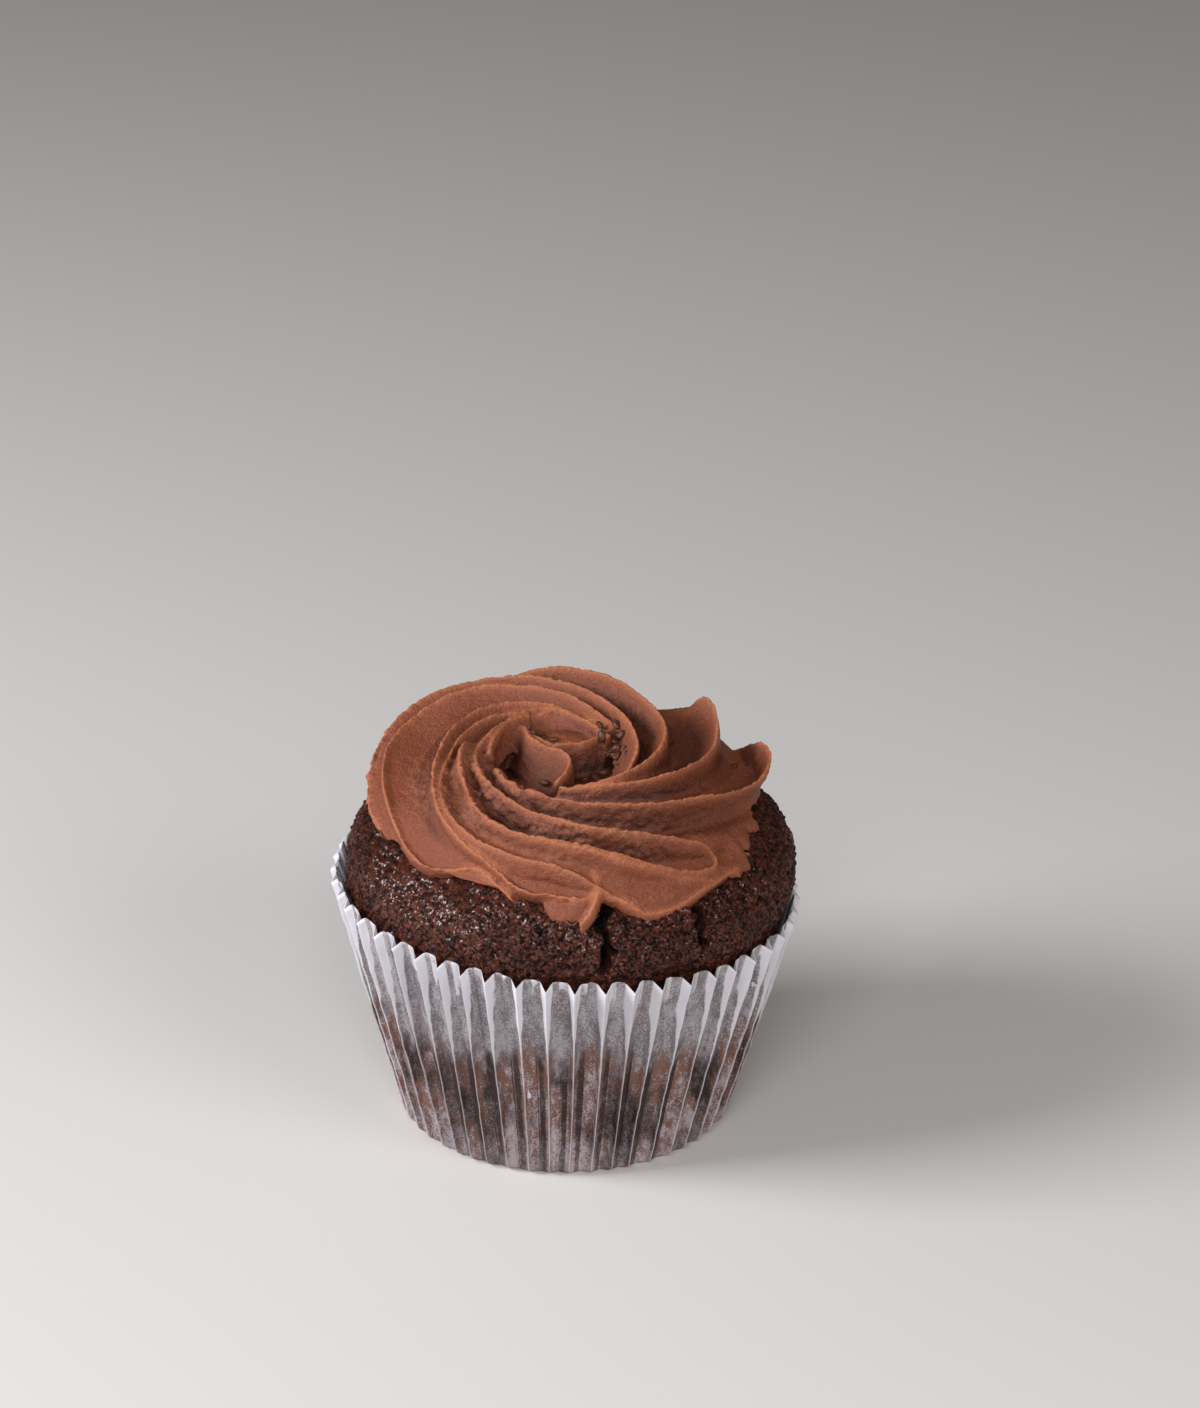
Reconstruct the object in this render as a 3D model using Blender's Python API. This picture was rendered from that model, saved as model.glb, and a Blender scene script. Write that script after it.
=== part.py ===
"""Chocolate cupcake: pleated paper case, domed sponge and a piped rosette of frosting.

Frame: +Z up, front is -Y, +X to the right of the front. The origin is the centre of the flat
underside of the case, which stands on z = 0. Metres.
"""
import math
import random

import bpy

MM = 0.001
GAP = 0.35 * MM                 # clearance between touching pieces

# paper case
CASE_BASE_RADIUS = 25.2 * MM    # flat underside, at the outer creases
CASE_RIM_RADIUS = 35.2 * MM     # rim, at the outer creases
CASE_RIM_HEIGHT = 35.6 * MM     # rim, at the outer creases
RIM_TILT = 2.7 * MM             # the rim stands higher on the left, lower on the right
RIM_NOTCH = 1.1 * MM            # the flat panels rise this far above the creases
RIM_LEAN = 0.8 * MM             # the top of the case sits this far to the right
PAPER = 0.35 * MM
PLEATS = 51
PLEAT_DEPTH_BASE = 0.5 * MM
PLEAT_DEPTH_RIM = 1.5 * MM
PLEAT_UNEVEN = 0.16             # spread of the pleat widths
FLANK_SHARE = 0.25              # of a pleat's width, on each side of its flat panel
CASE_ROWS = (0.0, 0.06, 0.34, 0.68, 1.0)

# sponge
DOME_LOW = 37.2 * MM            # height of the widest ring of the dome
DOME_TOP = 50.8 * MM
DOME_RADIUS = 33.3 * MM
DOME_POWER = 3.3                # fuller shoulder than an ellipse
SPONGE_COLUMNS = 60
SPONGE_WALL_ROWS = 4
SPONGE_DOME_ROWS = 11
WALL_TOP = 32.0 * MM            # the sponge follows the case up to here
CRACKS = (                      # turn, half width in degrees, top radius, bottom height, depth
    (279.0, 1.7, 25.5 * MM, 37.6 * MM, 3.0 * MM),
    (305.5, 1.5, 29.5 * MM, 38.6 * MM, 2.4 * MM),
)
CRACK_CLEAR = 1.6               # degrees between a crack's edge and the next even azimuth
CRACK_WANDER = 0.9              # degrees that a crack strays to either side
CUT_INWARD = 0.75               # on the dome a crack goes inward and down by these shares
CUT_DOWN = 0.6

# frosting: each fin starts at the outside and turns clockwise, as seen from above, into the eye
# start and turn in degrees, then the reach and the crest height in mm at five stations
FINS = (
    dict(start=198, turn=229, reach=(30.5, 28.5, 22.0, 13.5, 10.5), crest=(48.5, 53.5, 59.5, 59.5, 57.0)),
    dict(start=257, turn=212, reach=(30.5, 28.5, 26.0, 19.5, 10.0), crest=(46.5, 50.0, 54.5, 59.5, 58.0)),
    dict(start=277, turn=205, reach=(31.0, 28.0, 20.5, 15.5, 10.0), crest=(45.5, 51.5, 58.0, 59.5, 58.5)),
    dict(start=305, turn=200, reach=(30.0, 28.0, 22.0, 14.5, 10.0), crest=(46.0, 50.0, 55.5, 58.5, 58.0)),
    dict(start=314, turn=196, reach=(29.5, 27.0, 20.5, 13.5, 10.0), crest=(47.5, 53.5, 57.0, 59.0, 58.0)),
    dict(start=323, turn=186, reach=(28.5, 25.0, 18.5, 12.5, 10.0), crest=(50.0, 56.0, 57.0, 58.0, 58.0)),
    dict(start=383, turn=171, reach=(31.0, 29.0, 20.5, 15.5, 11.5), crest=(51.5, 54.5, 56.0, 57.0, 57.0)),
    dict(start=412, turn=146, reach=(29.5, 26.5, 21.0, 15.0, 11.0), crest=(53.0, 58.0, 57.5, 57.5, 57.0)),
    dict(start=480, turn=188, reach=(28.5, 22.5, 17.0, 14.5, 11.5), crest=(54.0, 61.0, 60.0, 59.5, 57.0)),
)
FIN_STEPS = 34                  # stations along each fin
STATION_POWER = 0.75            # the five stations lie closer together at the outside
FIN_SPACING = 8.0               # degrees between the curves that span a groove
GROOVE_PLACE = 0.68             # a groove is deepest this far towards the next crest
GROOVE_OUTER = 4.6 * MM         # depth of the grooves at the outside
GROOVE_INNER = 2.0 * MM         # and at the eye
FOOT_TUCK = 0.7 * MM            # the foot of the frosting is drawn in under its edge
SKIN = 0.8 * MM                 # least thickness of frosting over the sponge
EYE_RADIUS = 6.4 * MM
EYE_FLOOR = 53.0 * MM
EYE_ROUND = 0.6 * MM            # the floor rises this far to its wall and to the curl
CURL_RADIUS = 3.4 * MM
CURL_HEIGHT = 57.6 * MM
CURL_PEAK = 0.6                 # share of the curl's radius that its top ring keeps
UNDER_RINGS = 8
UNDER_POWER = 0.6               # the rings under the frosting lie closer at its edge
UNDER_GAP = 1.2 * GAP

PAPER_COLOUR = (0.42, 0.37, 0.37, 1.0)
SPONGE_COLOUR = (0.055, 0.020, 0.015, 1.0)
FROSTING_COLOUR = (0.230, 0.082, 0.050, 1.0)


def material(name, colour, roughness, metallic=0.0):
    made = bpy.data.materials.new(name)
    made.use_nodes = True
    made.diffuse_color = colour
    shader = made.node_tree.nodes["Principled BSDF"]
    shader.inputs["Base Color"].default_value = colour
    shader.inputs["Roughness"].default_value = roughness
    shader.inputs["Metallic"].default_value = metallic
    return made


def add_object(name, verts, faces, look, smooth):
    mesh = bpy.data.meshes.new(name)
    mesh.from_pydata(verts, [], faces)
    mesh.validate()
    mesh.update()
    made = bpy.data.objects.new(name, mesh)
    bpy.context.scene.collection.objects.link(made)
    made.data.materials.append(look)
    for face in mesh.polygons:
        face.use_smooth = smooth
    return made


def bridge(faces, first, second, count):
    """Quads between two closed rings of the same count; the second ring is further out or up."""
    for i in range(count):
        j = (i + 1) % count
        faces.append((first + i, first + j, second + j, second + i))


def fan(faces, ring, count, centre, outward):
    for i in range(count):
        j = (i + 1) % count
        faces.append((ring + i, ring + j, centre) if outward else (ring + j, ring + i, centre))


def polar(radius, turn, height, shift=0.0):
    return (shift + radius * math.cos(turn), radius * math.sin(turn), height)


def case_lean(height):
    return RIM_LEAN * min(1.0, height / CASE_RIM_HEIGHT)


def crease_radius(height):
    return CASE_BASE_RADIUS + (CASE_RIM_RADIUS - CASE_BASE_RADIUS) * height / CASE_RIM_HEIGHT


def pleat_depth(height):
    return PLEAT_DEPTH_BASE + (PLEAT_DEPTH_RIM - PLEAT_DEPTH_BASE) * height / CASE_RIM_HEIGHT


def pleat_turns():
    """Azimuths around the case: for each pleat its outer crease, then both ends of its panel."""
    random.seed(7)
    widths = [1.0 + random.uniform(-PLEAT_UNEVEN, PLEAT_UNEVEN) for _ in range(PLEATS)]
    scale = 2.0 * math.pi / sum(widths)
    turns = []
    start = 0.0
    for width in widths:
        turns.append((start, True))
        turns.append((start + FLANK_SHARE * width * scale, False))
        turns.append((start + (1.0 - FLANK_SHARE) * width * scale, False))
        start += width * scale
    return turns


def build_case():
    turns = pleat_turns()
    count = len(turns)
    verts, faces = [], []

    def ring(part, inside):
        first = len(verts)
        for turn, crease in turns:
            top = CASE_RIM_HEIGHT - RIM_TILT * math.cos(turn) + (0.0 if crease else RIM_NOTCH)
            height = part * top
            radius = crease_radius(height)
            if not crease:
                radius -= pleat_depth(height)
            if inside:
                radius -= PAPER
                height = max(height, PAPER)
            verts.append(polar(radius, turn, height, case_lean(height)))
        return first

    outer = [ring(part, False) for part in CASE_ROWS]
    inner = [ring(part, True) for part in CASE_ROWS]
    for low, high in zip(outer, outer[1:]):
        bridge(faces, low, high, count)
    bridge(faces, outer[-1], inner[-1], count)
    for low, high in zip(inner, inner[1:]):
        bridge(faces, high, low, count)
    verts.append((0.0, 0.0, 0.0))
    fan(faces, outer[0], count, len(verts) - 1, False)
    verts.append((0.0, 0.0, PAPER))
    fan(faces, inner[0], count, len(verts) - 1, True)
    return add_object("paper_case", verts, faces, material("paper", PAPER_COLOUR, 0.75), False)


def dome_height(radius):
    part = min(1.0, radius / DOME_RADIUS)
    return DOME_LOW + (DOME_TOP - DOME_LOW) * (1.0 - part ** DOME_POWER) ** (1.0 / DOME_POWER)


def over_dome(radius, clearance):
    """Height that keeps a clearance from the dome on its slopes too."""
    return dome_height(max(0.0, radius - clearance)) + clearance


def sponge_profile():
    """Radius and height from the bottom edge up over the dome."""
    profile = []
    bottom = PAPER + GAP
    for i in range(SPONGE_WALL_ROWS):
        height = bottom + (WALL_TOP - bottom) * i / (SPONGE_WALL_ROWS - 1)
        radius = crease_radius(height) - pleat_depth(height) - PAPER - GAP
        profile.append((radius, height))
    for i in range(SPONGE_DOME_ROWS):
        angle = 0.5 * math.pi * i / SPONGE_DOME_ROWS
        radius = DOME_RADIUS * math.cos(angle) ** (2.0 / DOME_POWER)
        height = DOME_LOW + (DOME_TOP - DOME_LOW) * math.sin(angle) ** (2.0 / DOME_POWER)
        profile.append((radius, height))
    return profile


def sponge_turns():
    """Even azimuths, with three closer ones at each crack."""
    turns = []
    for i in range(SPONGE_COLUMNS):
        turn = 360.0 * i / SPONGE_COLUMNS
        if all(abs(turn - crack[0]) > crack[1] + CRACK_CLEAR for crack in CRACKS):
            turns.append((turn, None, 0.0))
    for crack in CRACKS:
        middle, half = crack[:2]
        turns += [(middle - half, crack, 0.0), (middle, crack, 1.0), (middle + half, crack, 0.0)]
    return sorted(turns, key=lambda entry: entry[0])


def build_sponge():
    random.seed(3)
    turns = sponge_turns()
    count = len(turns)
    verts, faces, rings = [], [], []
    for row, (radius, height) in enumerate(sponge_profile()):
        rings.append(len(verts))
        wander = random.uniform(-CRACK_WANDER, CRACK_WANDER)
        for turn, crack, share in turns:
            cut, angle = 0.0, turn
            if crack and radius > crack[2] and height > crack[3]:
                cut = crack[4] * share
                angle += wander
            inward, down = (CUT_INWARD, CUT_DOWN) if height > DOME_LOW else (1.0, 0.0)
            verts.append(polar(radius - cut * inward, math.radians(angle),
                               height - cut * down, case_lean(height)))
    for low, high in zip(rings, rings[1:]):
        bridge(faces, low, high, count)
    verts.append((case_lean(0.0), 0.0, PAPER + GAP))
    fan(faces, rings[0], count, len(verts) - 1, False)
    verts.append((case_lean(DOME_TOP), 0.0, DOME_TOP))
    fan(faces, rings[-1], count, len(verts) - 1, True)
    return add_object("sponge", verts, faces, material("sponge", SPONGE_COLOUR, 0.85), True)


def spline(values, part):
    """Smooth curve through evenly spaced values, the part running from 0 to 1."""
    last = len(values) - 1
    place = min(max(part, 0.0), 1.0) * last
    i = min(int(place), last - 1)
    u = place - i
    b, c = values[i], values[i + 1]
    a = values[i - 1] if i > 0 else 2.0 * b - c
    d = values[i + 2] if i + 2 <= last else 2.0 * c - b
    return b + 0.5 * u * (c - a + u * (2.0 * a - 5.0 * b + 4.0 * c - d + u * (3.0 * (b - c) + d - a)))


def crest(fin, part):
    """Turn in degrees, radius and height of a fin's crest."""
    station = part ** STATION_POWER
    return (fin["start"] - fin["turn"] * part, spline(fin["reach"], station) * MM,
            spline(fin["crest"], station) * MM)


def groove_drop(share):
    """How far a groove has fallen, 0 at either crest and 1 at its floor."""
    side = share / GROOVE_PLACE if share < GROOVE_PLACE else (1.0 - share) / (1.0 - GROOVE_PLACE)
    return math.sin(0.5 * math.pi * side)


def frosting_columns():
    """Curves from the outside to the eye: each crest, then the ones that span its groove."""
    columns = []
    fins = list(FINS) + [dict(FINS[0], start=FINS[0]["start"] + 360)]
    for fin, following in zip(fins, fins[1:]):
        spans = max(3, round((following["start"] - fin["start"]) / FIN_SPACING))
        for share in (span / spans for span in range(spans)):
            column = []
            for step in range(FIN_STEPS):
                part = step / (FIN_STEPS - 1)
                first, second = crest(fin, part), crest(following, part)
                turn, radius, height = (p + (q - p) * share for p, q in zip(first, second))
                groove = GROOVE_OUTER + (GROOVE_INNER - GROOVE_OUTER) * part
                height -= groove * groove_drop(share)
                height = max(height, over_dome(radius, GAP + SKIN))
                column.append((math.radians(turn), radius, height))
            columns.append(column)
    return columns


def build_frosting():
    columns = frosting_columns()
    count = len(columns)
    shift = case_lean(DOME_TOP)
    verts, faces = [], []

    def ring(points):
        first = len(verts)
        verts.extend(polar(radius, turn, height, shift) for turn, radius, height in points)
        return first

    edge = [(column[0][0], column[0][1] - FOOT_TUCK) for column in columns]
    under = []
    for i in range(UNDER_RINGS):
        inward = (1.0 - i / UNDER_RINGS) ** UNDER_POWER
        points = [(turn, radius * inward) for turn, radius in edge]
        under.append(ring([(turn, radius, over_dome(radius, UNDER_GAP)) for turn, radius in points]))
    rows = [ring([column[step] for column in columns]) for step in range(FIN_STEPS)]
    ends = [column[-1][0] for column in columns]
    eye = ring([(turn, EYE_RADIUS, EYE_FLOOR + EYE_ROUND) for turn in ends])
    floor = ring([(turn, 0.5 * (EYE_RADIUS + CURL_RADIUS), EYE_FLOOR) for turn in ends])
    curl = ring([(turn, CURL_RADIUS, EYE_FLOOR + EYE_ROUND) for turn in ends])
    peak = ring([(turn, CURL_PEAK * CURL_RADIUS, CURL_HEIGHT - EYE_ROUND) for turn in ends])

    for low, high in zip(under, under[1:]):
        bridge(faces, high, low, count)
    chain = [under[0]] + rows + [eye, floor, curl, peak]
    for low, high in zip(chain, chain[1:]):
        bridge(faces, low, high, count)
    verts.append((shift, 0.0, CURL_HEIGHT))
    fan(faces, peak, count, len(verts) - 1, True)
    verts.append((shift, 0.0, over_dome(0.0, UNDER_GAP)))
    fan(faces, under[-1], count, len(verts) - 1, False)
    return add_object("frosting", verts, faces, material("frosting", FROSTING_COLOUR, 0.55), True)


for leftover in list(bpy.data.objects):
    bpy.data.objects.remove(leftover, do_unlink=True)

build_case()
build_sponge()
build_frosting()
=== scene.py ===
import math
import random

import bmesh
import bpy
import numpy as np
from mathutils import Matrix, Vector, noise
from mathutils.bvhtree import BVHTree
from mathutils.kdtree import KDTree


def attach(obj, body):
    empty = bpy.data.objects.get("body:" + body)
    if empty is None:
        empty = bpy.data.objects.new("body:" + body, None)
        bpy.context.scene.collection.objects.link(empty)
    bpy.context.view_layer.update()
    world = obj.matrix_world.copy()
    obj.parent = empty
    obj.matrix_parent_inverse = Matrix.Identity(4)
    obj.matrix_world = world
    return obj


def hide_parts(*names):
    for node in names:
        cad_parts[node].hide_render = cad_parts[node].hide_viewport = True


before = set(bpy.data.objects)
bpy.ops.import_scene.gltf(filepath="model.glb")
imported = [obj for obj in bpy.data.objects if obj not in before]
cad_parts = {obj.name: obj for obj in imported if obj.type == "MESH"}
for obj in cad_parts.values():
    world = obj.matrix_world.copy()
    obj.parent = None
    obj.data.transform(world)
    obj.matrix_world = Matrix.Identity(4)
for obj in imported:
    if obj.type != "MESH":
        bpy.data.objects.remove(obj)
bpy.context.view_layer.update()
mm = 0.001



# shader helpers: values add up as Python expressions
class Value:
    def __init__(self, graph, socket):
        self.graph = graph
        self.socket = socket

    def math(self, operation, *others):
        inputs = {0: self}
        for place, other in enumerate(others, 1):
            inputs[place] = other
        return self.graph.add("ShaderNodeMath", {"operation": operation}, inputs)

    def __add__(self, other):
        return self.math("ADD", other)

    def __radd__(self, other):
        return self.math("ADD", other)

    def __sub__(self, other):
        return self.math("SUBTRACT", other)

    def __rsub__(self, other):
        return self.graph.add("ShaderNodeMath", {"operation": "SUBTRACT"}, {0: other, 1: self})

    def __mul__(self, other):
        return self.math("MULTIPLY", other)

    def __rmul__(self, other):
        return self.math("MULTIPLY", other)

    def clamped(self):
        return self.graph.add("ShaderNodeClamp", {}, {"Value": self})

    def between(self, low, high):  # 0 at low, 1 at high, eased
        settings = {"interpolation_type": "SMOOTHSTEP"}
        return self.graph.add("ShaderNodeMapRange", settings, {0: self, 1: low, 2: high, 3: 0.0, 4: 1.0})


class Graph:
    def __init__(self, name):
        self.material = bpy.data.materials.new(name)
        self.material.use_nodes = True
        self.tree = self.material.node_tree
        self.shader = self.tree.nodes["Principled BSDF"]
        self.place = self.add("ShaderNodeTexCoord", {}, {}, "Object")

    def add(self, kind, settings, inputs, output=0):
        made = self.tree.nodes.new(kind)
        for key, value in settings.items():
            setattr(made, key, value)
        for key, value in inputs.items():
            self.feed(made.inputs[key], value)
        return Value(self, made.outputs[output])

    def feed(self, socket, value):
        if isinstance(value, Value):
            self.tree.links.new(value.socket, socket)
        elif isinstance(value, tuple) and socket.type == "RGBA":
            socket.default_value = (*value, 1.0)
        else:
            socket.default_value = value

    def finish(self, **inputs):  # sockets of the Principled shader, underscores for spaces
        for key, value in inputs.items():
            self.feed(self.shader.inputs[key.replace("_", " ")], value)
        return self.material

    def noise(self, size, detail, roughness, place=None):  # size in metres
        inputs = {"Vector": place or self.place, "Scale": 1.0 / size, "Detail": detail,
                  "Roughness": roughness, "Distortion": 0.0}
        return self.add("ShaderNodeTexNoise", {}, inputs, 0)

    def attribute(self, name):
        return self.add("ShaderNodeAttribute", {"attribute_name": name}, {}, "Fac")

    def mix(self, factor, first, second):
        settings = {"data_type": "RGBA", "blend_type": "MIX", "clamp_factor": True}
        return self.add("ShaderNodeMix", settings, {0: factor, 6: first, 7: second}, 2)

    def bump(self, height, distance, strength):
        inputs = {"Height": height, "Distance": distance, "Strength": strength}
        return self.add("ShaderNodeBump", {}, inputs)


def ease(x):
    x = np.clip(x, 0.0, 1.0)
    return x * x * (3.0 - 2.0 * x)


def mixed(a, b, t):
    return a + (b - a) * t


def roughField(points, size, octaves=1, seed=0):  # one number, about -1 to 1, for each point
    shift = Vector((seed * 17.13, seed * 5.37, seed * 11.71))
    flat = points.reshape(-1, 3) / size
    values = [noise.fractal(Vector(p) + shift, 1.0, 2.0, octaves) for p in flat]
    return np.array(values).reshape(points.shape[:-1])


def grainField(points, size, seed=0):  # rounded grains: 1 at a grain's middle, 0 in the gaps
    shift = Vector((seed * 9.13, seed * 3.37, seed * 7.71))
    flat = points.reshape(-1, 3) / size
    values = []
    for p in flat:
        near, nearer = noise.voronoi(Vector(p) + shift)[0][:2]
        values.append(min(1.0, (nearer - near) * 1.6))
    return np.array(values).reshape(points.shape[:-1])


def gridNormals(points):  # for a grid that closes on itself along its first axis
    along = np.roll(points, -1, 0) - np.roll(points, 1, 0)
    across = np.gradient(points, axis=1)
    normals = np.cross(along, across)
    return normals / np.maximum(np.linalg.norm(normals, axis=2, keepdims=True), 1e-12)


def smoothCurve(x, xs, ys):  # a smooth curve through a few points
    xs, ys = np.array(xs, float), np.array(ys, float)
    slopes = np.gradient(ys, xs)
    i = np.clip(np.searchsorted(xs, x) - 1, 0, len(xs) - 2)
    width = xs[i + 1] - xs[i]
    t = np.clip((x - xs[i]) / width, 0.0, 1.0)
    a = (2 * t ** 3 - 3 * t ** 2 + 1) * ys[i] + (t ** 3 - 2 * t ** 2 + t) * width * slopes[i]
    b = (3 * t ** 2 - 2 * t ** 3) * ys[i + 1] + (t ** 3 - t ** 2) * width * slopes[i + 1]
    return a + b


def polarPoints(turn, reach, height, shift=0.0):
    return np.stack([shift + reach * np.cos(turn), reach * np.sin(turn), height], axis=-1)


def wrapFaces(columns, rows, first=0):  # quads of a grid whose columns close into a ring
    c, r = np.meshgrid(np.arange(columns), np.arange(rows - 1), indexing="ij")
    n = (c + 1) % columns
    quads = np.stack([c * rows + r, n * rows + r, n * rows + r + 1, c * rows + r + 1], axis=-1)
    return (quads.reshape(-1, 4) + first).tolist()


def makePiece(name, points, faces, material, node=None, marks=None):
    mesh = bpy.data.meshes.new(name)
    mesh.from_pydata(points.reshape(-1, 3).tolist(), [], faces)
    for mark, values in (marks or {}).items():
        layer = mesh.attributes.new(mark, "FLOAT", "POINT")
        layer.data.foreach_set("value", np.asarray(values, np.float32).ravel())
    mesh.polygons.foreach_set("use_smooth", [True] * len(mesh.polygons))
    mesh.materials.append(material)
    mesh.update()
    piece = bpy.data.objects.new(name, mesh)
    bpy.context.scene.collection.objects.link(piece)
    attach(piece, "root")
    if node:
        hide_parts(node)
    print("made", name, len(mesh.vertices), "points", len(mesh.polygons), "faces")
    return piece


paperCase = {
    "pleats": 51,
    "baseRadius": 25.0 * mm,
    "rimRadius": 34.9 * mm,
    "rimHeight": 35.6 * mm,    # at the outer creases
    "rimTilt": 2.6 * mm,       # higher on the left, lower on the right
    "rimLean": 0.8 * mm,
    "notch": 1.15 * mm,        # the panels stand this far above the creases
    "foldRim": 1.55 * mm,      # how far the folds stand out at the rim
    "foldBase": 1.05 * mm,
    "foldWidth": 0.23,         # half a fold's share of its pleat, at the rim
    "uneven": 0.15,
    "paper": 0.12 * mm,
    "perPleat": 16,
    "rows": 58,
    "innerRows": 14,
    "clean": (0.62, 0.60, 0.64),
    "greasy": (0.36, 0.33, 0.35),
    "soaked": (0.15, 0.125, 0.13),
    "frosted": (0.44, 0.38, 0.41),
    "rust": (0.170, 0.080, 0.058),
    # the darkest stain colour, also used for the painted shade beside the folds
    "stainAndShade": (0.024, 0.009, 0.006),
    "creased": (0.66, 0.60, 0.63),
}


def caseLean(height):
    return paperCase["rimLean"] * np.clip(height / paperCase["rimHeight"], 0.0, 1.0)


def caseProfile():
    p = paperCase
    random.seed(7)
    widths = np.array([1.0 + random.uniform(-p["uneven"], p["uneven"]) for _ in range(p["pleats"])])
    starts = np.concatenate([[0.0], np.cumsum(widths)])[:-1]
    scale = 2.0 * math.pi / widths.sum()
    depth = np.array([random.uniform(0.78, 1.12) for _ in range(p["pleats"])])
    spread = np.array([random.uniform(0.8, 1.2) for _ in range(p["pleats"])])
    sway = np.array([random.uniform(-1.0, 1.0) for _ in range(p["pleats"])])
    # columns bunch up at the fold, where the paper bends
    inside = np.linspace(-0.5, 0.5, p["perPleat"], endpoint=False)
    inside = np.sign(inside) * 0.5 * (np.abs(inside) * 2.0) ** 1.6
    pleat = np.repeat(np.arange(p["pleats"]), p["perPleat"])
    phase = np.tile(inside, p["pleats"])
    turn = (starts[pleat] + phase * widths[pleat]) * scale
    return pleat, phase, turn, widths[pleat] * scale, depth[pleat], spread[pleat], sway[pleat]


def buildCase(material):
    p = paperCase
    pleat, phase, turn, width, depth, spread, sway = caseProfile()
    part = np.concatenate([[0.0, 0.004, 0.012, 0.025, 0.045], np.linspace(0.07, 1.0, p["rows"] - 5)])
    columns, rows = len(turn), len(part)
    part = part[None, :]
    phase, turn, width = phase[:, None], turn[:, None], width[:, None]
    depth, spread, sway = depth[:, None], spread[:, None], sway[:, None]
    opening = ease((part - 0.30) / 0.70)
    halfWidth = mixed(0.10, p["foldWidth"], opening) * spread
    fold = np.clip(1.0 - np.abs(phase) / halfWidth, 0.0, 1.0)
    panel = np.clip((np.abs(phase) - halfWidth) / (0.5 - halfWidth), 0.0, 1.0)
    top = p["rimHeight"] - p["rimTilt"] * np.cos(turn) + p["notch"] * (1.0 - fold)
    top = top + 0.16 * mm * ease(panel * 1.6) + 0.5 * mm * (spread - 1.0)
    height = part * top
    creaseRadius = mixed(p["baseRadius"], p["rimRadius"], height / p["rimHeight"])
    reachOut = mixed(p["foldBase"], p["foldRim"], part ** 1.6) * depth
    reachOut = reachOut * ease(part / 0.05 + 0.25)
    lowCorner = 0.9 * mm * np.clip(1.0 - height / (1.3 * mm), 0.0, 1.0) ** 2
    radius = creaseRadius - reachOut * (1.0 - fold ** 0.85) - lowCorner
    radius = radius - 0.40 * mm * panel * (1.0 - part ** 1.5) * depth
    drift = sway * 0.10 * width * (np.sin(part * 3.4 + sway * 5.0) - 0.2) * (1.0 - 0.5 * part)
    points = polarPoints(turn + drift, radius, height, caseLean(height))
    crumple = roughField(points, 3.2 * mm, 2, 3) * 0.16 * mm + roughField(points, 0.9 * mm, 2, 4) * 0.035 * mm
    crumple = crumple * ease(part / 0.08)
    outward = polarPoints(turn, np.ones_like(height), np.zeros_like(height))
    points = points + outward * crumple[..., None]
    points[..., 2] = np.maximum(points[..., 2], 0.0)
    points[:, 0, 2] = 0.0
    # the inside of the paper, down from the rim
    pick = np.linspace(rows - 1, 0, p["innerRows"]).astype(int)
    inner = points[:, pick] - outward[:, pick] * p["paper"]
    inner[:, -1, 2] = p["paper"]
    floorRing = inner[:, -1:] * np.array([0.5, 0.5, 1.0])
    baseRing = points[:, :1] * np.array([0.55, 0.55, 1.0])
    grid = np.concatenate([baseRing, points, inner, floorRing], axis=1)
    total = grid.shape[1]
    faces = wrapFaces(columns, total)
    middle = columns * total
    for c in range(columns):
        n = (c + 1) % columns
        faces.append((c * total, middle, n * total))
        faces.append((c * total + total - 1, n * total + total - 1, middle + 1))
    points = np.concatenate([grid.reshape(-1, 3), [[0, 0, 0], [0, 0, p["paper"]]]])
    pad = [(0, 0), (1, total - rows - 1)]
    marks = {}
    # which side of its pleat a point lies on, mirrored between the left and right halves of the cup; the
    # material paints shade beside the folds by it
    aside = phase * np.sign(np.cos(turn)) + 0.0 * part
    loose = sway + 0.0 * part
    kept = {"fold": fold, "part": part + 0.0 * fold, "aside": aside, "loose": loose}
    for name, values in kept.items():
        marks[name] = np.concatenate([np.pad(values, pad, "edge").ravel(), [0.0, 0.0]])
    return makePiece("paperCase", points, faces, material, "paper_case", marks)


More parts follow.
